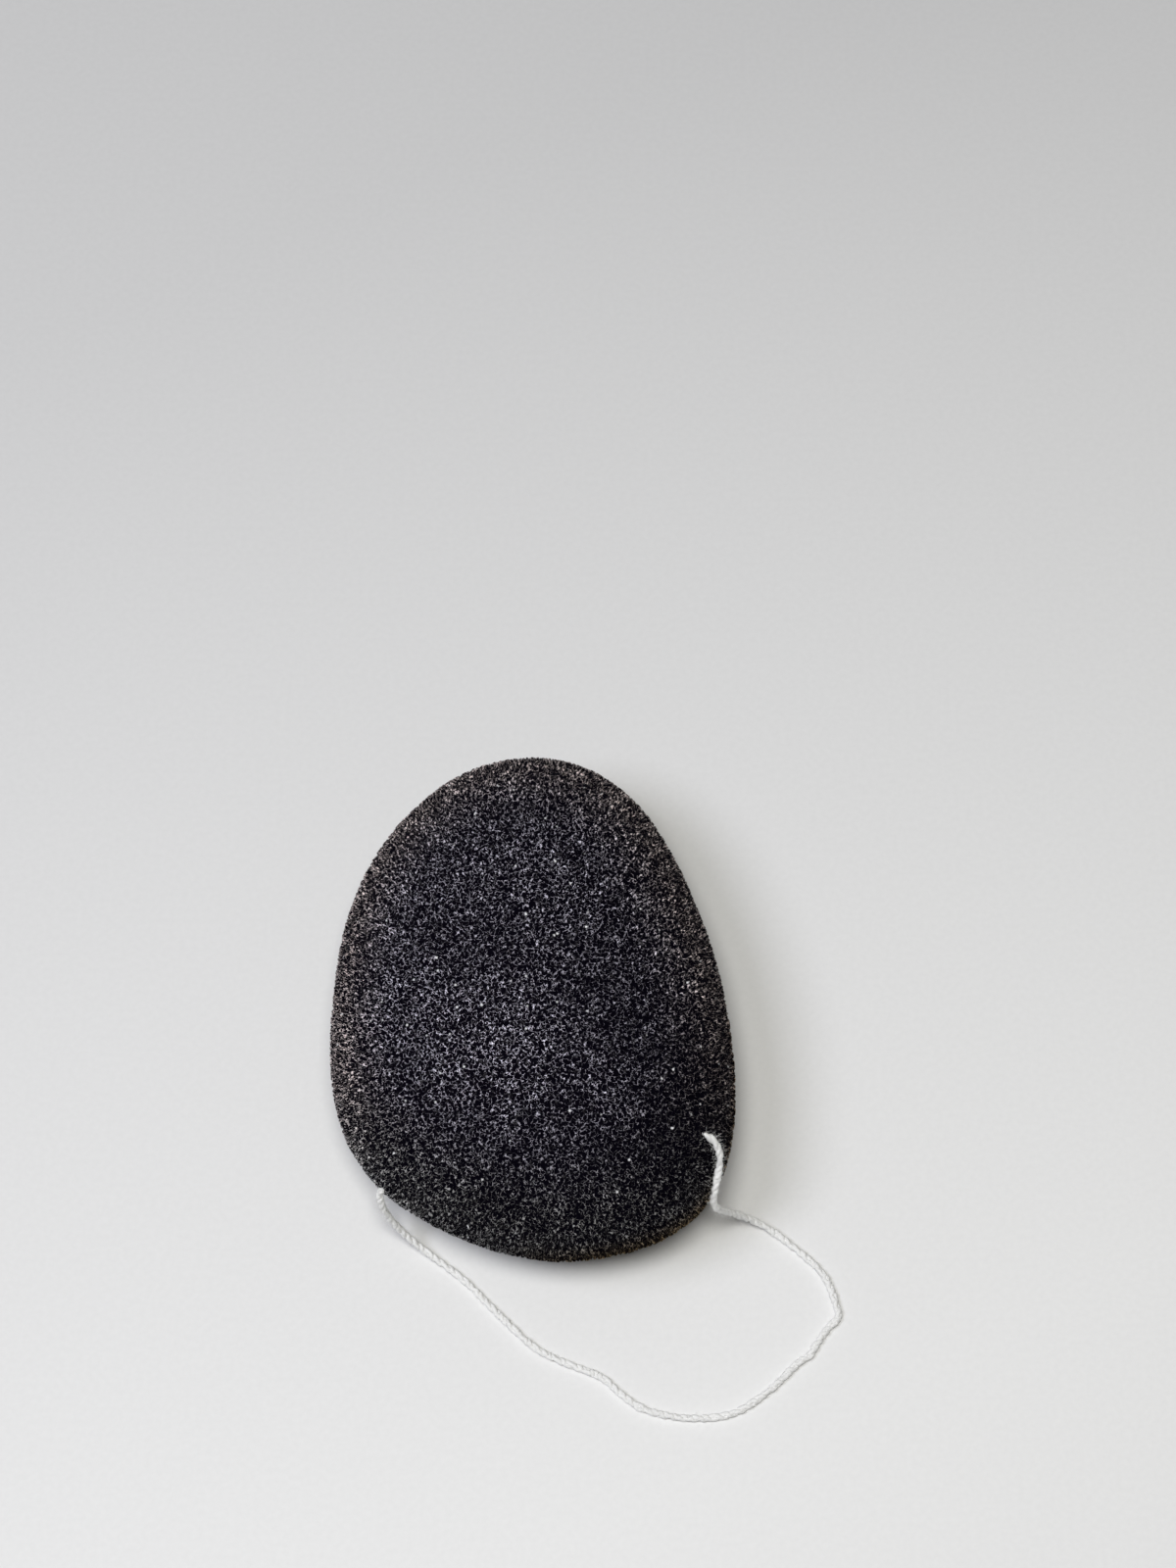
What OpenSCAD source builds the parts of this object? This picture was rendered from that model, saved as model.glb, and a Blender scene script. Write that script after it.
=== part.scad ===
// Dry konjac face sponge with a hanging loop. One block of foam, a free egg shape with a flat
// underside, carries a limp cotton string that is drawn through its broad end and tied inside.
// +X points right, +Y towards the narrow end and +Z up. The origin is the middle of the foam's
// box on the table, and every size is in millimetres.

/* [Foam body] */
// Overall width of the foam
body_w = 74.5; // [70:0.5:79]
// Overall length of the foam, broad end to narrow end
body_l = 96.5; // [90:0.5:103]
// Height of the crown above the table
body_h = 43; // [38:0.5:48]
// Height of the widest line above the table
belly_h = 17; // [13:0.5:21]
// How much of the rounded underside the flat foot takes away
foot_cut = 3; // [1:0.5:6]
// How far the crown lies to the left of the middle
crown_left = 3; // [0:0.5:8]
// How far the crown lies towards the broad end
crown_near = 4; // [0:0.5:10]

/* [String] */
// Thickness of the cotton string
cord_d = 1.3; // [1:0.1:1.6]
// Radial room of the string in its channel through the foam
channel_gap = 0.05; // [0.03:0.01:0.09]

/* [Knot inside the foam] */
// Gap between neighbouring strands of the knot
strand_gap = 0.2; // [0.1:0.05:0.4]
// Room round the knot in its pocket
pocket_gap = 0.3; // [0.2:0.1:0.8]
// Length of each cut end past the knot
tail_l = 1.4; // [0.8:0.1:1.6]

/* [Hidden] */

// Turns round the foam, and levels under and over its widest line
body_sides = 56;
under_levels = 5;
over_levels = 15;
// Roundness of the outline towards the broad and the narrow end, and of the sides
near_power = 2.6;
far_power = 2.15;
side_power = 2.2;
// How much the narrow end is drawn in, as a share of the width
taper_share = 0.13;
// Swells and flats of the outline: where it is in degrees, how wide it is in degrees, and its
// height as a share of the radius. The broad end is fuller on the right and cut on the left.
outline_shares = [
    [25, 25, -0.045], [155, 25, 0.025], [230, 25, -0.04], [275, 20, 0.065], [310, 25, 0.08]
];
// Hollows and swells of the upper side: place across and along as shares of half the width and
// length, spread as a share of half the width, and height as a share of the body's height
relief_shares = [
    [-0.20, -0.42, 0.42, 0.014], [-0.30, 0.06, 0.30, -0.022], [0.52, 0.20, 0.34, -0.024],
    [0.10, 0.10, 0.30, 0.010], [0.62, -0.55, 0.34, -0.020]
];

// Route of the free string, from the right exit down over the flank, round the table in front of
// the broad end and up to the left exit
route = [
    [30.8, -28.3, 29.7], [32.0, -28.2, 29.7], [33.2, -28.5, 29.3], [34.2, -29.4, 28.5],
    [34.6, -31.2, 26.9], [34.2, -33.1, 24.9], [33.7, -34.9, 23.3], [33.4, -36.6, 21.1],
    [33.2, -37.8, 18.4], [33.6, -38.1, 15.2], [34.8, -37.6, 11.6], [36.5, -37.0, 8.0],
    [38.7, -36.8, 4.6], [41.7, -37.3, 2.0], [45.2, -39.2, 0.9], [50.0, -43.1, 0.7],
    [54.0, -47.8, 0.7], [56.1, -51.8, 0.7], [55.9, -55.8, 0.7], [53.2, -59.4, 0.7],
    [49.5, -63.3, 0.7], [46.0, -66.7, 0.7], [42.0, -70.0, 0.7], [37.0, -72.5, 0.7],
    [31.0, -73.2, 0.7], [25.0, -73.0, 0.7], [20.0, -71.6, 0.7], [16.0, -68.8, 0.7],
    [12.5, -65.8, 0.7], [6.0, -63.2, 0.7], [0.5, -60.4, 0.7], [-6.0, -54.4, 0.7],
    [-12.5, -47.9, 0.7], [-18.5, -43.4, 1.2], [-22.6, -40.7, 3.7], [-25.6, -38.9, 8.2],
    [-28.2, -37.8, 12.9], [-29.5, -36.8, 16.4], [-28.7, -35.6, 18.6], [-26.9, -35.1, 19.7]
];
// Sides of the string, and rings along each span of its route
cord_sides = 8;
cord_steps = 2;
// Sides of the round rods and bores
rod_sides = 48;

// The knot is a square knot of the string's two ends. Its sizes are counted in strand pitches:
// half its length, its legs' mean place and swing across it, its rise, how far each bight
// stands out, and how far its legs run on before they come back to the channel.
strand_pitch = cord_d + strand_gap;
half_knot_share = 2.4;
leg_share = 1.2;
swing_share = 0.7;
rise_share = 0.57;
bight_share = 1;
run_share = 2;
shoulder_share = 1.3;
half_knot = half_knot_share * strand_pitch;
leg_y = leg_share * strand_pitch;
swing_y = swing_share * strand_pitch;
rise_z = rise_share * strand_pitch;
bight_x = bight_share * strand_pitch;
run_x = half_knot + run_share * strand_pitch;
leg_end_y = leg_y - swing_y;
// Steps along each leg and round each bight
leg_steps = 8;
bight_steps = 6;

// The channel is straight between the string's two exits, and its pocket lies halfway
exit_right = route[0];
exit_left = route[len(route) - 1];
channel_l = norm(exit_right - exit_left);
along = (exit_right - exit_left) / channel_l;
channel_mid = (exit_right + exit_left) / 2;
channel_d = cord_d + 2 * channel_gap;
pocket_d = 2 * (norm([leg_y + swing_y, rise_z]) + cord_d / 2 + pocket_gap);
pocket_l = 2 * (run_x + shoulder_share * strand_pitch);
// How far the channel's cutter runs past each exit
cut_over = 6;

function add_up(list, i = 0) = i < len(list) ? list[i] + add_up(list, i + 1) : 0;
function unit(v) = v / norm(v);
function wrapped(a) = a - 360 * round(a / 360);
function bell(d) = exp(-d * d);

// Outline of the foam from above: an egg of two powers, drawn in at the narrow end, with the
// swells and flats of its table, then brought to a half width and a half length of 1
function swell(a) = 1 + add_up([for (s = outline_shares) s[2] * bell(wrapped(a - s[0]) / s[1])]);
function egg(a) =
    let (
        power = sin(a) < 0 ? near_power : far_power,
        r = pow(pow(abs(cos(a)), power) + pow(abs(sin(a)), power), -1 / power)
    )
    swell(a) * [r * cos(a) * (1 - taper_share * r * sin(a)), r * sin(a)];
egg_ring = [for (i = [0 : body_sides - 1]) egg(i * 360 / body_sides)];
egg_x = [for (p = egg_ring) p[0]];
egg_y = [for (p = egg_ring) p[1]];
function centred(v, list) = (2 * v - max(list) - min(list)) / (max(list) - min(list));
outline = [for (p = egg_ring) [centred(p[0], egg_x), centred(p[1], egg_y)]];

// Levels of the foam as angles from its widest line: the foot's rim, the line itself, the crown
foot_angle = asin(pow(belly_h / (belly_h + foot_cut), side_power / 2));
levels = concat(
    [for (i = [0 : under_levels - 1]) -foot_angle * (1 - i / under_levels)],
    [for (i = [0 : over_levels - 1]) 90 * i / over_levels]
);
function reach(a) = pow(cos(a), 2 / side_power);
function lift(a) = sign(a) * pow(abs(sin(a)), 2 / side_power);
function level_z(a) = belly_h + (a < 0 ? belly_h + foot_cut : body_h - belly_h) * lift(a);
function relief(x, y) = body_h * add_up([
    for (s = relief_shares)
        s[3] * bell(norm([x / (body_w / 2) - s[0], (y / (body_l / 2) - s[1]) * body_l / body_w]) / s[2])
]);
function body_point(p, a) =
    let (
        up = max(lift(a), 0),
        x = body_w / 2 * p[0] * reach(a) - crown_left * up * up,
        y = body_l / 2 * p[1] * reach(a) - crown_near * up * up
    )
    [x, y, level_z(a) + relief(x, y) * up];

// Points of a smooth curve through a list, with steps points to each span
function past(list, i) =
    i < 0 ? 2 * list[0] - list[1]
    : i >= len(list) ? 2 * list[len(list) - 1] - list[len(list) - 2]
    : list[i];
function curve_point(a, b, c, d, t) =
    (2 * b + (c - a) * t + (2 * a - 5 * b + 4 * c - d) * t * t + (3 * b - a - 3 * c + d) * t * t * t) / 2;
function smooth(list, steps) = concat(
    [
        for (i = [0 : len(list) - 2], k = [0 : steps - 1])
            curve_point(past(list, i - 1), list[i], list[i + 1], past(list, i + 2), k / steps)
    ],
    [list[len(list) - 1]]
);

// Directions along a path, with those of its two ends given, and a side vector carried along it
function path_dirs(path, first, last) = [
    for (i = [0 : len(path) - 1])
        i == 0 ? first : i == len(path) - 1 ? last : unit(path[i + 1] - path[i - 1])
];
function squared(v, dir) = unit(v - (v * dir) * dir);
function carried(dirs, side, i = 0) =
    let (now = squared(side, dirs[i]))
    i == len(dirs) - 1 ? [now] : concat([now], carried(dirs, now, i + 1));

// A closed tube of cord_sides sides along a path
module tube(path, first, last) {
    dirs = path_dirs(path, first, last);
    sides = carried(dirs, [0, 0, 1]);
    n = cord_sides;
    rings = len(path);
    points = [
        for (i = [0 : rings - 1], k = [0 : n - 1])
            path[i] + cord_d / 2 * (
                cos(k * 360 / n) * sides[i] + sin(k * 360 / n) * cross(dirs[i], sides[i])
            )
    ];
    faces = concat(
        [for (i = [0 : rings - 2], k = [0 : n - 1]) [i * n + k, (i + 1) * n + (k + 1) % n, i * n + (k + 1) % n]],
        [for (i = [0 : rings - 2], k = [0 : n - 1]) [i * n + k, (i + 1) * n + k, (i + 1) * n + (k + 1) % n]],
        [[for (k = [0 : n - 1]) k]],
        [[for (k = [0 : n - 1]) rings * n - 1 - k]]
    );
    polyhedron(points = points, faces = faces);
}

// Puts a thing that is drawn along X into the channel, with its middle halfway between the exits
module in_channel() {
    translate(channel_mid)
        rotate([0, -asin(along[2]), atan2(along[1], along[0])])
            children();
}

module rod(d, l) {
    rotate([0, 90, 0]) cylinder(d = d, h = l, $fn = rod_sides);
}

// The foam, before the channel and the pocket are cut
module foam_block() {
    n = body_sides;
    rows = len(levels);
    rings = [for (a = levels, p = outline) body_point(p, a)];
    foot = len(rings);
    crown = foot + 1;
    points = concat(rings, [[0, 0, 0]], [body_point([0, 0], 90)]);
    faces = concat(
        [for (i = [0 : rows - 2], k = [0 : n - 1]) [i * n + k, (i + 1) * n + (k + 1) % n, i * n + (k + 1) % n]],
        [for (i = [0 : rows - 2], k = [0 : n - 1]) [i * n + k, (i + 1) * n + k, (i + 1) * n + (k + 1) % n]],
        [for (k = [0 : n - 1]) [foot, k, (k + 1) % n]],
        [for (k = [0 : n - 1]) [crown, (rows - 1) * n + (k + 1) % n, (rows - 1) * n + k]]
    );
    polyhedron(points = points, faces = faces);
}

// The foam block, bored for the string from flank to flank, with a pocket round the knot
module sponge_body() {
    color([0.17, 0.16, 0.18])
        difference() {
            foam_block();
            in_channel() {
                translate([-channel_l / 2 - cut_over, 0, 0]) rod(channel_d, channel_l + 2 * cut_over);
                translate([-pocket_l / 2, 0, 0]) rod(pocket_d, pocket_l);
            }
        }
}

// The free stretch of the string, from exit to exit
module string_loop() {
    color("ivory") tube(smooth(route, cord_steps), along, along);
}

// The string's two hidden stretches, each from its exit to the pocket
module string_inside_left() {
    color("ivory") in_channel() translate([-channel_l / 2, 0, 0]) rod(cord_d, (channel_l - pocket_l) / 2);
}

module string_inside_right() {
    color("ivory") in_channel() translate([pocket_l / 2, 0, 0]) rod(cord_d, (channel_l - pocket_l) / 2);
}

// One end of the string in the knot: in from the channel, along a leg, round a bight, back
// along the other leg, and out as a short cut tail beside the stretch that it came from
function leg_point(x, side) = [
    x, side * (leg_y + swing_y * sin(90 * x / half_knot)), -rise_z * cos(180 * x / half_knot)
];
knot_path = concat(
    [[-pocket_l / 2, 0, 0], [-(run_x + pocket_l / 2) / 2, leg_end_y / 2, rise_z / 2]],
    [[-run_x, leg_end_y, rise_z]],
    [for (i = [0 : leg_steps]) leg_point((2 * i / leg_steps - 1) * half_knot, 1)],
    [
        for (i = [1 : bight_steps - 1])
            [
                half_knot + bight_x * sin(180 * i / bight_steps),
                (leg_y + swing_y) * cos(180 * i / bight_steps),
                rise_z
            ]
    ],
    [for (i = [0 : leg_steps]) leg_point((1 - 2 * i / leg_steps) * half_knot, -1)],
    [[-run_x, -leg_end_y, rise_z], [-run_x - tail_l, -leg_end_y, rise_z]]
);

module knot_end() {
    tube(knot_path, [1, 0, 0], [-1, 0, 0]);
}

module knot_end_left() {
    color("ivory") in_channel() knot_end();
}

module knot_end_right() {
    color("ivory") in_channel() rotate([0, 180, 0]) knot_end();
}

sponge_body();
string_loop();
string_inside_left();
string_inside_right();
knot_end_left();
knot_end_right();
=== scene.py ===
import math

import bpy
import numpy as np
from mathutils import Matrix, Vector


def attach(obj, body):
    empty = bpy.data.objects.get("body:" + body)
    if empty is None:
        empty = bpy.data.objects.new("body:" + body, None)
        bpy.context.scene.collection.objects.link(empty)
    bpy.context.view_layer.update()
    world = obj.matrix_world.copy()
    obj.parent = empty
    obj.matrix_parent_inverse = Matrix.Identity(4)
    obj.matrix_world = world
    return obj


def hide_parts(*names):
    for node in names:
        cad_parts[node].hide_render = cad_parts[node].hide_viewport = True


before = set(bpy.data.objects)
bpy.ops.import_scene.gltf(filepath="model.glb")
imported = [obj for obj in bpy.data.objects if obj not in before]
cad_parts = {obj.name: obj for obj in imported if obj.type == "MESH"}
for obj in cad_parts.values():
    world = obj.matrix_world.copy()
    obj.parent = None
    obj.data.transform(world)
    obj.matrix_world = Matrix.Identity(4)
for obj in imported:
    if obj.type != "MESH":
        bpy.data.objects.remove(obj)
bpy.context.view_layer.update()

# CAMERA
# It looks steeply down from the broad end's side, as a person does who stands at the table. Its
# long lens shows the far end nearly as large as the near one.
aim = Vector((0.0102, 0.0438, 0.0180))
camera_distance = 0.7
camera_tilt = math.radians(68)
eye = aim + camera_distance * Vector((0, -math.cos(camera_tilt), math.sin(camera_tilt)))
camera = bpy.data.objects.new("camera", bpy.data.cameras.new("camera"))
camera.data.sensor_fit = "VERTICAL"
camera.data.sensor_height = 36
camera.data.lens = 85
camera.location = eye
camera.rotation_euler = (aim - eye).to_track_quat("-Z", "Y").to_euler()
bpy.context.scene.collection.objects.link(camera)
bpy.context.scene.camera = camera

# FOAM
# One block of konjac foam, dried hard after steaming in a mould: a free egg with a soft crown
# and a flat foot. Its whole skin is open pores, just under a millimetre wide, with thin walls.
body_w, body_l, body_h = 0.0745, 0.0965, 0.0430
belly_h, foot_cut = 0.0170, 0.0030
crown_left, crown_near = 0.0030, 0.0040
near_power, far_power, side_power = 2.6, 2.15, 2.2
taper = 0.13
outline_points = 56
rim_tilt = -43
cells_to_a_side = 220
# The outline's swells and dents: a turn and a spread in degrees, and a share of the radius
swells = [(25, 25, -0.045), (155, 25, 0.025), (230, 25, -0.04), (275, 20, 0.065), (310, 25, 0.08)]
# The crown's swells and hollows: a place in half widths and half lengths, a spread in half widths
# and a share of the height
hollows = [
    (-0.20, -0.42, 0.42, 0.014), (-0.30, 0.06, 0.30, -0.022), (0.52, 0.20, 0.34, -0.024),
    (0.10, 0.10, 0.30, 0.010), (0.62, -0.55, 0.34, -0.020),
]
# The two holes where the string comes out, which are the ends of its route
string_holes = np.array([(30.8, -28.3, 29.7), (-26.9, -35.1, 19.7)]) / 1000
crust_sizes = {
    "Pore Depth": 0.0005, "Roughening": 0.0005, "Lumps per Metre": 90.0,
    "Lip Width": 0.0050, "Lip Inside": 0.0002, "Lip Height": 0.0007,
}

# A pore's width, and how many times to that width its walls bend and break
pore = 0.00078
wall_bends, wall_breaks = 1.6, 1.3
# How far from a wall's middle its top ends and the full depth starts, in pore widths
wall_end, pore_start = 0.026, 0.050
# Between which values of the noise a wall breaks, how much nearer to the pore that brings it, and
# a shift that keeps the breaks apart from the bends
break_start, break_end, break_depth = 0.52, 0.68, 0.06
break_shift = (31.7, 12.3, 5.1)


def egg(turn):
    """The foam's outline before it is brought to size, at turns in degrees."""
    a = np.radians(turn)
    power = np.where(np.sin(a) < 0, near_power, far_power)
    r = (np.abs(np.cos(a)) ** power + np.abs(np.sin(a)) ** power) ** (-1 / power)
    swell = 1.0
    for at, spread, height in swells:
        off = (turn - at + 180) % 360 - 180
        swell = swell + height * np.exp(-((off / spread) ** 2))
    return swell * r * np.cos(a) * (1 - taper * r * np.sin(a)), swell * r * np.sin(a)


def egg_skin(directions):
    """Places on the foam's skin, one for each unit direction."""
    turn = np.degrees(np.arctan2(directions[:, 1], directions[:, 0]))
    tilt = np.degrees(np.arcsin(np.clip(directions[:, 2], -1, 1)))
    ring_x, ring_y = egg(np.arange(outline_points) * 360 / outline_points)
    x, y = egg(turn)
    x = (2 * x - ring_x.max() - ring_x.min()) / (ring_x.max() - ring_x.min())
    y = (2 * y - ring_y.max() - ring_y.min()) / (ring_y.max() - ring_y.min())
    foot = math.degrees(math.asin((belly_h / (belly_h + foot_cut)) ** (side_power / 2)))
    over = (tilt - rim_tilt) / (90 - rim_tilt)
    a = np.radians(np.where(tilt > rim_tilt, -foot + over * (90 + foot), -foot))
    inner = np.where(tilt > rim_tilt, 1.0, (tilt + 90) / (rim_tilt + 90))
    reach = np.clip(np.cos(a), 0, 1) ** (2 / side_power)
    lift = np.sign(a) * np.abs(np.sin(a)) ** (2 / side_power)
    up = np.maximum(lift, 0)
    x = body_w / 2 * x * reach * inner - crown_left * up**2
    y = body_l / 2 * y * reach * inner - crown_near * up**2
    z = belly_h + np.where(a < 0, belly_h + foot_cut, body_h - belly_h) * lift
    for across_at, along_at, spread, height in hollows:
        off = np.hypot(x / (body_w / 2) - across_at, (y / (body_l / 2) - along_at) * body_l / body_w)
        z = z + body_h * height * np.exp(-((off / spread) ** 2)) * up
    return np.stack([x, y, z], 1)


def six_sided_ball(count):
    """Points and faces of a ball made of six square grids, count cells to a side."""
    steps = np.tan(np.linspace(-1, 1, count + 1) * math.pi / 4)
    u, v = (g.ravel() for g in np.meshgrid(steps, steps, indexing="ij"))
    one = np.ones_like(u)
    i, j = (g.ravel() for g in np.meshgrid(np.arange(count), np.arange(count), indexing="ij"))
    corner = i * (count + 1) + j
    cells = np.stack([corner, corner + count + 1, corner + count + 2, corner + 1], 1)
    sides = [(one, u, v), (-one, v, u), (v, one, u), (u, -one, v), (u, v, one), (v, u, -one)]
    points = np.vstack([np.stack(s, 1) for s in sides])
    faces = np.vstack([cells + k * (count + 1) ** 2 for k in range(6)])
    points /= np.linalg.norm(points, axis=1)[:, None]
    _, first, same = np.unique(np.round(points, 7), axis=0, return_index=True, return_inverse=True)
    return points[first], same.ravel()[faces]


def node(tree, kind, sockets=None, **settings):
    """Adds a node, with its settings and its inputs, which are values or other nodes' outputs."""
    made = tree.nodes.new(kind)
    for name, value in settings.items():
        setattr(made, name, value)
    for key, value in (sockets or {}).items():
        if isinstance(value, bpy.types.NodeSocket):
            tree.links.new(value, made.inputs[key])
        else:
            made.inputs[key].default_value = value
    return made


def sums(tree, operation, *values):
    """The output of a Math node on these values."""
    return node(tree, "ShaderNodeMath", dict(enumerate(values)), operation=operation).outputs[0]


def vectors(tree, operation, *values, scale=None):
    """The output of a Vector Math node on these values."""
    sockets = dict(enumerate(values))
    if scale is not None:
        sockets["Scale"] = scale
    made = node(tree, "ShaderNodeVectorMath", sockets, operation=operation)
    return made.outputs[1 if operation in ("LENGTH", "DISTANCE", "DOT_PRODUCT") else 0]


def parted(tree, vector):
    """The three parts of a vector."""
    return node(tree, "ShaderNodeSeparateXYZ", {0: vector}).outputs


def ramp(tree, value, low, high, to_low=0.0, to_high=1.0, shape="LINEAR"):
    """The value carried from the range low to high into to_low to to_high, and held at its ends."""
    sockets = {"Value": value, "From Min": low, "From Max": high, "To Min": to_low, "To Max": to_high}
    return node(tree, "ShaderNodeMapRange", sockets, interpolation_type=shape).outputs[0]


def noise(tree, place, scale, detail, roughness=0.5):
    """Smooth noise about a half, with scale lumps to each unit of the place."""
    sockets = {"Vector": place, "Scale": scale, "Detail": detail, "Roughness": roughness}
    return node(tree, "ShaderNodeTexNoise", sockets).outputs[0]


def blend(tree, share, start, end):
    """The colour at this share of the way from the start colour to the end colour."""
    start, end = (c if isinstance(c, bpy.types.NodeSocket) else (*c, 1) for c in (start, end))
    return node(tree, "ShaderNodeMix", {0: share, 6: start, 7: end}, data_type="RGBA").outputs[2]


def marked(tree, geometry, name, value, kind="FLOAT"):
    """The geometry with this value kept on its points under the name, for its material."""
    sockets = {"Geometry": geometry, "Name": name, "Value": value}
    made = node(tree, "GeometryNodeStoreNamedAttribute", sockets, data_type=kind, domain="POINT")
    return made.outputs[0]


def new_tree(name, sizes):
    """An empty geometry tree with a geometry, a material and these named sizes as its inputs."""
    tree = bpy.data.node_groups.new(name, "GeometryNodeTree")
    tree.interface.new_socket("Geometry", in_out="INPUT", socket_type="NodeSocketGeometry")
    tree.interface.new_socket("Material", in_out="INPUT", socket_type="NodeSocketMaterial")
    for title in sizes:
        tree.interface.new_socket(title, in_out="INPUT", socket_type="NodeSocketFloat")
    tree.interface.new_socket("Geometry", in_out="OUTPUT", socket_type="NodeSocketGeometry")
    return tree


def finished(tree, geometry, material):
    """Ends the tree: the geometry goes out of it as real faces of this material."""
    done = node(tree, "GeometryNodeRealizeInstances", {"Geometry": geometry}).outputs[0]
    done = node(tree, "GeometryNodeSetMaterial", {"Geometry": done, "Material": material}).outputs[0]
    node(tree, "NodeGroupOutput", {0: done})


def worked(name, mesh, tree, material, sizes):
    """A new piece: the plain mesh that the tree makes of this mesh with these sizes."""
    piece = bpy.data.objects.new(name, mesh)
    bpy.context.scene.collection.objects.link(piece)
    modifier = piece.modifiers.new("shape", "NODES")
    modifier.node_group = tree
    for item in tree.interface.items_tree:
        if item.in_out == "INPUT" and item.name == "Material":
            modifier[item.identifier] = material
        elif item.in_out == "INPUT" and item.name in sizes:
            modifier[item.identifier] = sizes[item.name]
    piece.update_tag()
    ready = piece.evaluated_get(bpy.context.evaluated_depsgraph_get())
    made = bpy.data.meshes.new_from_object(ready)
    piece.modifiers.remove(modifier)
    piece.data = made
    made.name = name
    bpy.data.meshes.remove(mesh)
    return piece


def pore_depth(tree, place):
    """How far into a pore a place lies: 0 on top of a wall, 1 in the middle of a pore."""
    cells = vectors(tree, "SCALE", place, scale=1 / pore)
    bends = node(tree, "ShaderNodeTexNoise", {"Vector": cells, "Scale": wall_bends, "Detail": 0.0})
    cells = vectors(tree, "ADD", bends.outputs["Color"], cells)
    edge = node(
        tree, "ShaderNodeTexVoronoi", {"Vector": cells, "Scale": 1.0, "Randomness": 1.0},
        feature="DISTANCE_TO_EDGE",
    ).outputs[0]
    breaks = noise(tree, vectors(tree, "ADD", cells, break_shift), scale=wall_breaks, detail=0.0)
    breaks = ramp(tree, breaks, break_start, break_end, to_high=break_depth)
    return ramp(tree, sums(tree, "ADD", edge, breaks), wall_end, pore_start, shape="SMOOTHSTEP")


# The foam's tree opens the pores, roughens the skin and closes a lip round each of the two holes
crust = new_tree("open pores", crust_sizes)
given = node(crust, "NodeGroupInput").outputs
spot = node(crust, "GeometryNodeInputPosition").outputs[0]
body = marked(crust, given["Geometry"], "skin", spot, kind="FLOAT_VECTOR")
skin = node(
    crust, "GeometryNodeInputNamedAttribute", {"Name": "skin"}, data_type="FLOAT_VECTOR"
).outputs[0]
sink = sums(crust, "MULTIPLY", pore_depth(crust, skin), given["Pore Depth"])
lumps = sums(crust, "SUBTRACT", noise(crust, skin, given["Lumps per Metre"], detail=2.0), 0.5)
sink = sums(crust, "SUBTRACT", sink, sums(crust, "MULTIPLY", lumps, given["Roughening"]))
for hole in string_holes:
    near = vectors(crust, "DISTANCE", skin, tuple(hole))
    lip = ramp(
        crust, near, given["Lip Width"], given["Lip Inside"], to_high=given["Lip Height"],
        shape="SMOOTHSTEP",
    )
    sink = sums(crust, "SUBTRACT", sink, lip)
outward = node(crust, "GeometryNodeInputNormal").outputs[0]
inward = vectors(crust, "SCALE", outward, scale=sums(crust, "MULTIPLY", sink, -1.0))
body = node(crust, "GeometryNodeSetPosition", {"Geometry": body, "Offset": inward}).outputs[0]
body = node(crust, "GeometryNodeSetShadeSmooth", {"Geometry": body}).outputs[0]
finished(crust, body, given["Material"])

# Charcoal-dark konjac, dry and without shine of its own: painted near-black shade in the pores, grey
# on their walls, with a violet painted sheen on the crown, which is also painted darker, a brown cast
# on the flanks, neutral at the broad end, and white painted sparkles
pore_painted_shade, wall_dark = (0.0017, 0.0013, 0.0035), (0.06, 0.057, 0.063)
flank_cast, broad_cast, crown_painted_sheen = (0.90, 0.78, 0.765), (0.82, 0.81, 0.81), (0.655, 0.63, 0.745)
broad_start, broad_end = -0.018, -0.034
crown_start, crown_end = 0.030, 0.038
glints_per_m, glint_start, glint_end, glint_relief = 1400.0, 0.36, 0.56, 0.4
# White painted sparkles: how many cells to a metre, their white, and where each fades out and is full
sparkles_per_m, sparkle_white, sparkle_edge, sparkle_core = 380.0, (0.85, 0.85, 0.88), 0.12, 0.05
clumps_per_m, clouds_per_m = 420.0, 75.0
noise_low, noise_high = 0.3, 0.7
# Painted shade: the foam is darker and browner where it turns under at the front right
under_shade_tint, under_shade_side = (1.15, 0.86, 0.50), (0.8, -0.6, 0.0)
shade_side_start, shade_side_end = 0.024, 0.038
under_shade_start, under_shade_end = 0.024, 0.016
# Painted light and shade: paler places on the crown and right flank, darker ones low at the front and
# right and on parts of the crown. Each has a place, a reach and a strength, which is full up to one
# share of the reach and gone at another
patch_full, patch_gone = 0.3, 1.4
painted_patches = [
    ((-0.007, -0.016, 0.043), 0.014, 1.30),
    ((0.016, -0.024, 0.039), 0.008, 1.40),
    ((0.030, -0.024, 0.030), 0.020, 0.44),
    ((0.010, -0.048, 0.026), 0.026, 0.46),
    ((-0.020, -0.037, 0.032), 0.018, 0.62),
    ((-0.017, 0.026, 0.036), 0.011, 0.84),
    ((0.014, -0.006, 0.041), 0.013, 0.75),
    ((-0.010, 0.004, 0.041), 0.012, 0.80),
    ((0.000, 0.030, 0.037), 0.008, 0.86),
    ((0.010, 0.020, 0.038), 0.014, 1.15),
    ((0.027, -0.030, 0.031), 0.009, 0.66),
    ((0.032, -0.009, 0.030), 0.008, 1.25),
]
konjac = bpy.data.materials.new("konjac foam")
konjac.use_nodes = True
looks = konjac.node_tree
shader = looks.nodes["Principled BSDF"]
skin = node(looks, "ShaderNodeAttribute", attribute_name="skin").outputs["Vector"]
depth = pore_depth(looks, skin)
glint = noise(looks, skin, glints_per_m, detail=1.0, roughness=0.6)
glint = ramp(looks, glint, glint_start, glint_end)
x, y, height = parted(looks, skin)
cast = blend(looks, ramp(looks, y, broad_start, broad_end), flank_cast, broad_cast)
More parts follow.
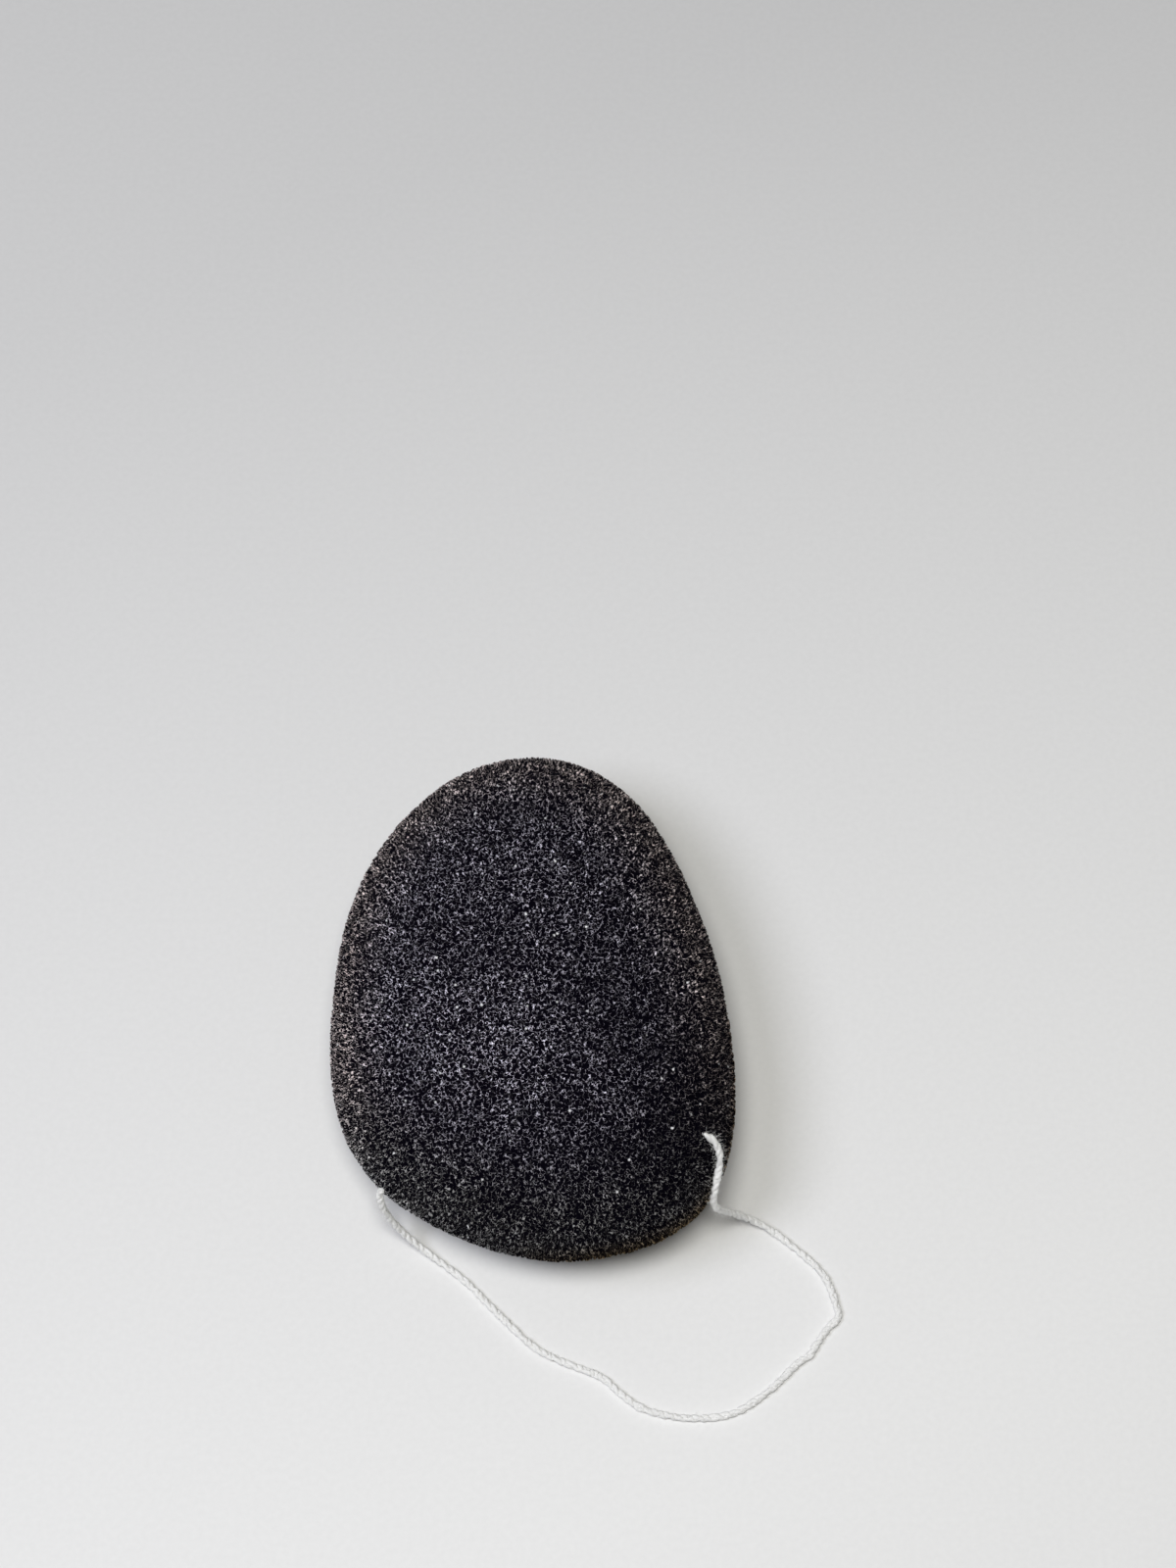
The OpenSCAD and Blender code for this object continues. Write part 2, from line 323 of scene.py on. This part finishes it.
# The crown's violet is a painted sheen, and its darker tone there is painted shade
cast = blend(looks, ramp(looks, height, crown_start, crown_end), cast, crown_painted_sheen)
walls = blend(looks, glint, wall_dark, cast)
clumps = noise(looks, skin, clumps_per_m, detail=1.0)
clumps = ramp(looks, clumps, noise_low, noise_high, to_low=0.78, to_high=1.2)
clouds = noise(looks, skin, clouds_per_m, detail=2.0)
clouds = ramp(looks, clouds, noise_low, noise_high, to_low=0.93, to_high=1.23)
shade = sums(looks, "MULTIPLY", clumps, clouds)
# Paler and darker places of painted light and shade on the walls
for middle, reach, strength in painted_patches:
    off = vectors(looks, "DISTANCE", skin, middle)
    painted_patch = ramp(
        looks, off, patch_full * reach, patch_gone * reach, to_low=strength, shape="SMOOTHSTEP"
    )
    shade = sums(looks, "MULTIPLY", shade, painted_patch)
# The pores are painted near black, as the shade inside them
tone = blend(looks, depth, vectors(looks, "SCALE", walls, scale=shade), pore_painted_shade)
# Painted shade, darker and browner, where the skin turns under at the front right
sideways = ramp(looks, vectors(looks, "DOT_PRODUCT", skin, under_shade_side), shade_side_start, shade_side_end)
painted_under_shade = sums(looks, "MULTIPLY", sideways, ramp(looks, height, under_shade_start, under_shade_end))
tone = blend(looks, painted_under_shade, tone, vectors(looks, "MULTIPLY", tone, under_shade_tint))
# Painted sparkles, small white glints on the walls: half of the sparkles' cells have one
cells = node(
    looks, "ShaderNodeTexVoronoi", {"Vector": skin, "Scale": sparkles_per_m}, feature="F1"
).outputs
chosen = sums(looks, "GREATER_THAN", parted(looks, cells["Color"])[0], 0.5)
sparkle = sums(looks, "MULTIPLY", ramp(looks, cells["Distance"], sparkle_edge, sparkle_core), chosen)
tone = blend(looks, sparkle, tone, sparkle_white)
looks.links.new(tone, shader.inputs["Base Color"])
shader.inputs["Roughness"].default_value = 0.8
shader.inputs["Specular IOR Level"].default_value = 0.01
relief = sums(looks, "MULTIPLY", glint, glint_relief)
relief = sums(looks, "ADD", sums(looks, "MULTIPLY", depth, -1.0), relief)
relief = node(looks, "ShaderNodeBump", {"Height": relief, "Strength": 0.8, "Distance": 0.00016})
looks.links.new(relief.outputs[0], shader.inputs["Normal"])

ball_points, ball_faces = six_sided_ball(cells_to_a_side)
plain = bpy.data.meshes.new("egg")
plain.from_pydata(egg_skin(ball_points).tolist(), [], ball_faces.tolist())
plain.update()
sponge = worked("konjac_foam", plain, crust, konjac, crust_sizes)
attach(sponge, "foam")
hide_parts("sponge_body")

# STRING
# White cotton yarn, two plies loosely twisted, about 1.3 mm thick, threaded through the foam and
# knotted inside. Its free loop, 180 mm long, drops from the right flank over the broad end's
# corner, lies in a wide bow on the table and climbs to the left flank. Loose fibres stand off it.
route = [
    (30.8, -28.3, 29.7), (32.0, -28.2, 29.7), (33.2, -28.5, 29.3), (34.2, -29.4, 28.5),
    (34.6, -31.2, 26.9), (34.2, -33.1, 24.9), (33.7, -34.9, 23.3), (33.4, -36.6, 21.1),
    (33.2, -37.8, 18.4), (33.6, -38.1, 15.2), (34.8, -37.6, 11.6), (36.5, -37.0, 8.0),
    (38.7, -36.8, 4.6), (41.7, -37.3, 2.0), (45.2, -39.2, 0.9), (50.0, -43.1, 0.7),
    (54.0, -47.8, 0.7), (56.1, -51.8, 0.7), (55.9, -55.8, 0.7), (53.2, -59.4, 0.7),
    (49.5, -63.3, 0.7), (46.0, -66.7, 0.7), (42.0, -70.0, 0.7), (37.0, -72.5, 0.7),
    (31.0, -73.2, 0.7), (25.0, -73.0, 0.7), (20.0, -71.6, 0.7), (16.0, -68.8, 0.7),
    (12.5, -65.8, 0.7), (6.0, -63.2, 0.7), (0.5, -60.4, 0.7), (-6.0, -54.4, 0.7),
    (-12.5, -47.9, 0.7), (-18.5, -43.4, 1.2), (-22.6, -40.7, 3.7), (-25.6, -38.9, 8.2),
    (-28.2, -37.8, 12.9), (-29.5, -36.8, 16.4), (-28.7, -35.6, 18.6), (-26.9, -35.1, 19.7),
]
route = np.array(route) / 1000
exit_right, exit_left = route[0], route[-1]
along = (exit_right - exit_left) / np.linalg.norm(exit_right - exit_left)
# The real yarn bends at once where it leaves the foam, tighter than the route's tube, so that its
# first and last points lie closer to the skin, and its bight on the table has two small kinks
inside = 0.0005
right_bend = [
    (31.8, -28.8, 29.1), (33.0, -29.6, 27.9), (33.7, -30.7, 26.3), (33.9, -32.2, 24.8),
    (33.6, -33.8, 23.5), (33.3, -35.3, 22.0), (33.0, -36.7, 20.1), (32.9, -37.6, 17.8),
]
bight = [
    (53.0, -46.0, 0.7), (54.7, -49.0, 0.7), (55.7, -52.1, 0.7), (56.2, -54.3, 0.7),
    (55.5, -55.5, 0.7), (54.2, -56.7, 0.7), (52.0, -59.8, 0.7), (51.0, -61.5, 0.7),
    (50.2, -62.2, 0.7), (49.0, -62.9, 0.7), (47.2, -64.5, 0.7), (44.1, -67.6, 0.7),
    (40.5, -70.3, 0.7), (36.9, -72.4, 0.7), (32.8, -73.3, 0.7), (29.0, -73.4, 0.7),
]
left_bend = [(-25.6, -38.8, 8.8), (-27.0, -37.7, 13.2), (-27.4, -37.0, 15.8), (-27.5, -36.1, 18.0)]
right_leg, left_stretch = route[9:16], route[25:35]
steps_per_span = 6
yarn_sizes = {
    "Line Step": 0.00022, "Ply Thickness": 0.00090, "Ply Offset": 0.00026, "Lay": 0.0036,
    "Slack per Metre": 140.0, "Slack Turn": 5.0,
    "Fibres": 3.4e6, "Fibre Length": 0.0010, "Fibre Radius": 0.000013,
    "Shortest Share": 0.35, "Longest Share": 1.5,
    "Pressed Height": 0.001, "Free Height": 0.005, "Pressed Share": 0.45,
    "Table Gap": 0.00003,
}
ply_sides, fibre_sides = 10, 3
fibre_turn_most = Vector((0.9, 0.9, 3.1))


def smooth(points, steps):
    """A smooth curve through the points, with steps points to each span."""
    ends = np.vstack([2 * points[0] - points[1], points, 2 * points[-1] - points[-2]])
    t = np.arange(steps)[:, None] / steps
    spans = [
        (2 * b + (c - a) * t + (2 * a - 5 * b + 4 * c - d) * t**2 + (3 * b - a - 3 * c + d) * t**3) / 2
        for a, b, c, d in zip(ends, ends[1:], ends[2:], ends[3:])
    ]
    return np.vstack(spans + [points[-1:]])


def joined(tree, x, y, z):
    """The vector of these three parts."""
    return node(tree, "ShaderNodeCombineXYZ", {0: x, 1: y, 2: z}).outputs[0]


# The yarn's tree twists two plies round the line and sets loose fibres on them
yarn = new_tree("twisted yarn", yarn_sizes)
given = node(yarn, "NodeGroupInput").outputs
curve = node(yarn, "GeometryNodeMeshToCurve", {"Mesh": given["Geometry"]}).outputs[0]
curve = node(
    yarn, "GeometryNodeResampleCurve", {"Curve": curve, "Length": given["Line Step"]}, mode="LENGTH"
).outputs[0]
down = node(yarn, "GeometryNodeSplineParameter").outputs["Length"]
copies = node(
    yarn, "GeometryNodeDuplicateElements", {"Geometry": curve, "Amount": 2}, domain="SPLINE"
).outputs
curve = marked(yarn, copies[0], "along", down)
# The twist is uneven, and the plies part where it is slack
slack = node(
    yarn, "ShaderNodeTexNoise",
    {"W": sums(yarn, "MULTIPLY", down, given["Slack per Metre"]), "Detail": 1.0},
    noise_dimensions="1D",
).outputs[0]
turn = sums(yarn, "DIVIDE", sums(yarn, "MULTIPLY", down, math.tau), given["Lay"])
turn = sums(yarn, "ADD", turn, sums(yarn, "MULTIPLY", slack, given["Slack Turn"]))
turn = sums(yarn, "ADD", turn, sums(yarn, "MULTIPLY", copies["Duplicate Index"], math.pi))
parting = sums(yarn, "MULTIPLY", given["Ply Offset"], sums(yarn, "ADD", slack, 0.5))
side = node(yarn, "GeometryNodeInputNormal").outputs[0]
across = vectors(yarn, "CROSS_PRODUCT", node(yarn, "GeometryNodeInputTangent").outputs[0], side)
shift = vectors(
    yarn, "ADD",
    vectors(yarn, "SCALE", side, scale=sums(yarn, "COSINE", turn)),
    vectors(yarn, "SCALE", across, scale=sums(yarn, "SINE", turn)),
)
shift = vectors(yarn, "SCALE", shift, scale=parting)
curve = node(yarn, "GeometryNodeSetPosition", {"Geometry": curve, "Offset": shift}).outputs[0]
ply_radius = sums(yarn, "MULTIPLY", given["Ply Thickness"], 0.5)
ring = node(
    yarn, "GeometryNodeCurvePrimitiveCircle", {"Resolution": ply_sides, "Radius": ply_radius}
).outputs[0]
ring = marked(yarn, ring, "around", node(yarn, "GeometryNodeSplineParameter").outputs["Factor"])
plies = node(
    yarn, "GeometryNodeCurveToMesh", {"Curve": curve, "Profile Curve": ring, "Fill Caps": True}
).outputs[0]
plies = node(yarn, "GeometryNodeSetShadeSmooth", {"Geometry": plies}).outputs[0]
# Each fibre is one bent hair, turned and made longer or shorter by chance
roots = node(
    yarn, "GeometryNodeDistributePointsOnFaces",
    {"Mesh": plies, "Density": given["Fibres"], "Seed": 7}, distribute_method="RANDOM",
).outputs
bow = node(
    yarn, "GeometryNodeCurveQuadraticBezier",
    {"Resolution": 4, "Start": (0, 0, -0.05), "Middle": (0.1, 0, 0.5), "End": (0.7, 0.1, 0.75)},
).outputs[0]
bow_size = joined(yarn, given["Fibre Length"], given["Fibre Length"], given["Fibre Length"])
bow = node(yarn, "GeometryNodeTransform", {"Geometry": bow, "Scale": bow_size}).outputs[0]
hair = node(
    yarn, "GeometryNodeCurvePrimitiveCircle",
    {"Resolution": fibre_sides, "Radius": given["Fibre Radius"]},
).outputs[0]
fibre = node(yarn, "GeometryNodeCurveToMesh", {"Curve": bow, "Profile Curve": hair}).outputs[0]
lean = node(
    yarn, "FunctionNodeRandomValue", {"Min": -fibre_turn_most, "Max": fibre_turn_most, "Seed": 3},
    data_type="FLOAT_VECTOR",
).outputs[0]
lean = node(
    yarn, "FunctionNodeRotateRotation", {"Rotation": roots["Rotation"], "Rotate By": lean},
    rotation_space="LOCAL",
).outputs[0]
reach = node(
    yarn, "FunctionNodeRandomValue",
    {2: given["Shortest Share"], 3: given["Longest Share"], "Seed": 5}, data_type="FLOAT",
).outputs[1]
# On the table they are pressed short
height = parted(yarn, node(yarn, "GeometryNodeInputPosition").outputs[0])[2]
free = ramp(
    yarn, height, given["Pressed Height"], given["Free Height"], to_low=given["Pressed Share"]
)
reach = sums(yarn, "MULTIPLY", reach, free)
fuzz = node(
    yarn, "GeometryNodeInstanceOnPoints",
    {"Points": roots["Points"], "Instance": fibre, "Rotation": lean, "Scale": reach},
).outputs[0]
fuzz = node(yarn, "GeometryNodeRealizeInstances", {"Geometry": fuzz}).outputs[0]
both = node(yarn, "GeometryNodeJoinGeometry")
yarn.links.new(fuzz, both.inputs[0])
yarn.links.new(plies, both.inputs[0])
# Nothing of it goes through the table
x, y, z = parted(yarn, node(yarn, "GeometryNodeInputPosition").outputs[0])
lifted = joined(yarn, x, y, sums(yarn, "MAXIMUM", z, given["Table Gap"]))
lifted = node(
    yarn, "GeometryNodeSetPosition", {"Geometry": both.outputs[0], "Position": lifted}
).outputs[0]
finished(yarn, lifted, given["Material"])

# Bleached cotton: matt, with a soft bloom, and streaked by the fibres that wind round each ply
cotton_dull, cotton_bright = (0.66, 0.66, 0.65), (0.96, 0.96, 0.955)
dull_start, bright_end = 0.25, 0.75
streak_lay, streaks_per_m = 0.0026, 420.0
cotton = bpy.data.materials.new("cotton yarn")
cotton.use_nodes = True
looks = cotton.node_tree
shader = looks.nodes["Principled BSDF"]
down = node(looks, "ShaderNodeAttribute", attribute_name="along").outputs["Fac"]
around = node(looks, "ShaderNodeAttribute", attribute_name="around").outputs["Fac"]
wind = sums(looks, "MULTIPLY", around, math.tau)
wind = sums(looks, "ADD", wind, sums(looks, "MULTIPLY", down, math.tau / streak_lay))
streak = joined(
    looks, sums(looks, "COSINE", wind), sums(looks, "SINE", wind),
    sums(looks, "MULTIPLY", down, streaks_per_m),
)
fibres = noise(looks, streak, scale=3.2, detail=3.0, roughness=0.6)
tone = blend(looks, ramp(looks, fibres, dull_start, bright_end), cotton_dull, cotton_bright)
looks.links.new(tone, shader.inputs["Base Color"])
shader.inputs["Roughness"].default_value = 0.85
shader.inputs["Specular IOR Level"].default_value = 0.25
shader.inputs["Sheen Weight"].default_value = 0.25
shader.inputs["Sheen Roughness"].default_value = 0.5
grooves = node(looks, "ShaderNodeBump", {"Height": fibres, "Strength": 0.7, "Distance": 0.00008})
looks.links.new(grooves.outputs[0], shader.inputs["Normal"])

loop_line = smooth(np.vstack([
    exit_right - inside * along, np.array(right_bend) / 1000, right_leg, np.array(bight) / 1000,
    left_stretch, np.array(left_bend) / 1000, exit_left + inside * along,
]), steps_per_span)
line = bpy.data.meshes.new("string line")
line.from_pydata(loop_line.tolist(), [(i, i + 1) for i in range(len(loop_line) - 1)], [])
string = worked("cotton_string", line, yarn, cotton, yarn_sizes)
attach(string, "string")
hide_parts("string_loop")
# The hidden stretches and the knot are the same cotton
for name in ("string_inside_left", "string_inside_right", "knot_end_left", "knot_end_right"):
    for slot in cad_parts[name].material_slots:
        slot.material = cotton

# TABLE
# A plain pale sheet with a very fine tooth, painted darker towards the far left as painted shade.
# Beyond the lamps' reach it fades into a pale backdrop, which lights nothing.
table_half = 3
near_tone, far_shaded_tone = (0.775, 0.775, 0.775), (0.62, 0.62, 0.625)
far_side, far_start, far_end = (-0.5, 1, 0), -0.1, 0.2
tooth_per_m = 900.0
backdrop_tone = (0.62, 0.62, 0.62, 1)
fade_start, fade_end = 0.24, 0.62


def seen_directly(tree):
    """1 for rays that show the place itself, 0 for the light that it gives to other things."""
    ray = node(tree, "ShaderNodeLightPath").outputs
    seen = sums(tree, "MAXIMUM", ray["Is Camera Ray"], ray["Is Glossy Ray"])
    return sums(tree, "MAXIMUM", seen, ray["Is Transmission Ray"])


corners = [table_half * Vector(c) for c in ((-1, -1, 0), (1, -1, 0), (1, 1, 0), (-1, 1, 0))]
table = bpy.data.meshes.new("table")
table.from_pydata(corners, [], [(0, 1, 2, 3)])
table = bpy.data.objects.new("table", table)
bpy.context.scene.collection.objects.link(table)
sheet = bpy.data.materials.new("pale sheet")
sheet.use_nodes = True
looks = sheet.node_tree
shader = looks.nodes["Principled BSDF"]
where = node(looks, "ShaderNodeTexCoord").outputs["Object"]
# Painted shade: the sheet is darker towards the far left
far = ramp(looks, vectors(looks, "DOT_PRODUCT", where, far_side), far_start, far_end)
grain = noise(looks, where, tooth_per_m, detail=2.0)
speckle = ramp(looks, grain, noise_low, noise_high, to_low=0.985, to_high=1.015)
tone = vectors(looks, "SCALE", blend(looks, far, near_tone, far_shaded_tone), scale=speckle)
looks.links.new(tone, shader.inputs["Base Color"])
tooth = node(looks, "ShaderNodeBump", {"Height": grain, "Strength": 0.15, "Distance": 0.0001})
looks.links.new(tooth.outputs[0], shader.inputs["Normal"])
shader.inputs["Roughness"].default_value = 0.7
shader.inputs["Specular IOR Level"].default_value = 0.2
away = ramp(looks, vectors(looks, "LENGTH", where), fade_start, fade_end, shape="SMOOTHSTEP")
away = sums(looks, "MULTIPLY", away, seen_directly(looks))
backdrop = node(looks, "ShaderNodeEmission", {"Color": backdrop_tone}).outputs[0]
fade = node(looks, "ShaderNodeMixShader", {0: away, 1: shader.outputs[0], 2: backdrop}).outputs[0]
looks.links.new(fade, looks.nodes["Material Output"].inputs["Surface"])
table.data.materials.append(sheet)

# LIGHT
# One soft cool lamp high on the left, one soft warm lamp nearly overhead and a faint even room.
# The room looks paler to the camera than the light that it gives.
sponge_middle = Vector((0, 0, 0.02))
room_tone = (0.82, 0.82, 0.83, 1)
room_light, room_paler = 0.08, 0.67


def lamp(name, at, size, watts, tint):
    """A round lamp at this place, turned to the sponge."""
    made = bpy.data.objects.new(name, bpy.data.lights.new(name, "AREA"))
    made.data.shape = "DISK"
    made.data.size = size
    made.data.energy = watts
    made.data.color = tint
    made.location = at
    made.rotation_euler = (sponge_middle - Vector(at)).to_track_quat("-Z", "Y").to_euler()
    bpy.context.scene.collection.objects.link(made)


lamp("key lamp", (-0.48, -0.12, 0.88), size=0.42, watts=4.2, tint=(0.885, 0.904, 1.0))
lamp("fill lamp", (-0.03, -0.18, 1.07), size=0.38, watts=7.7, tint=(0.995, 0.985, 0.93))
world = bpy.data.worlds.new("room")
world.use_nodes = True
bpy.context.scene.world = world
room = world.node_tree.nodes["Background"]
room.inputs["Color"].default_value = room_tone
pale = sums(world.node_tree, "MULTIPLY_ADD", seen_directly(world.node_tree), room_paler, room_light)
world.node_tree.links.new(pale, room.inputs["Strength"])
bpy.context.scene.view_settings.view_transform = "Standard"
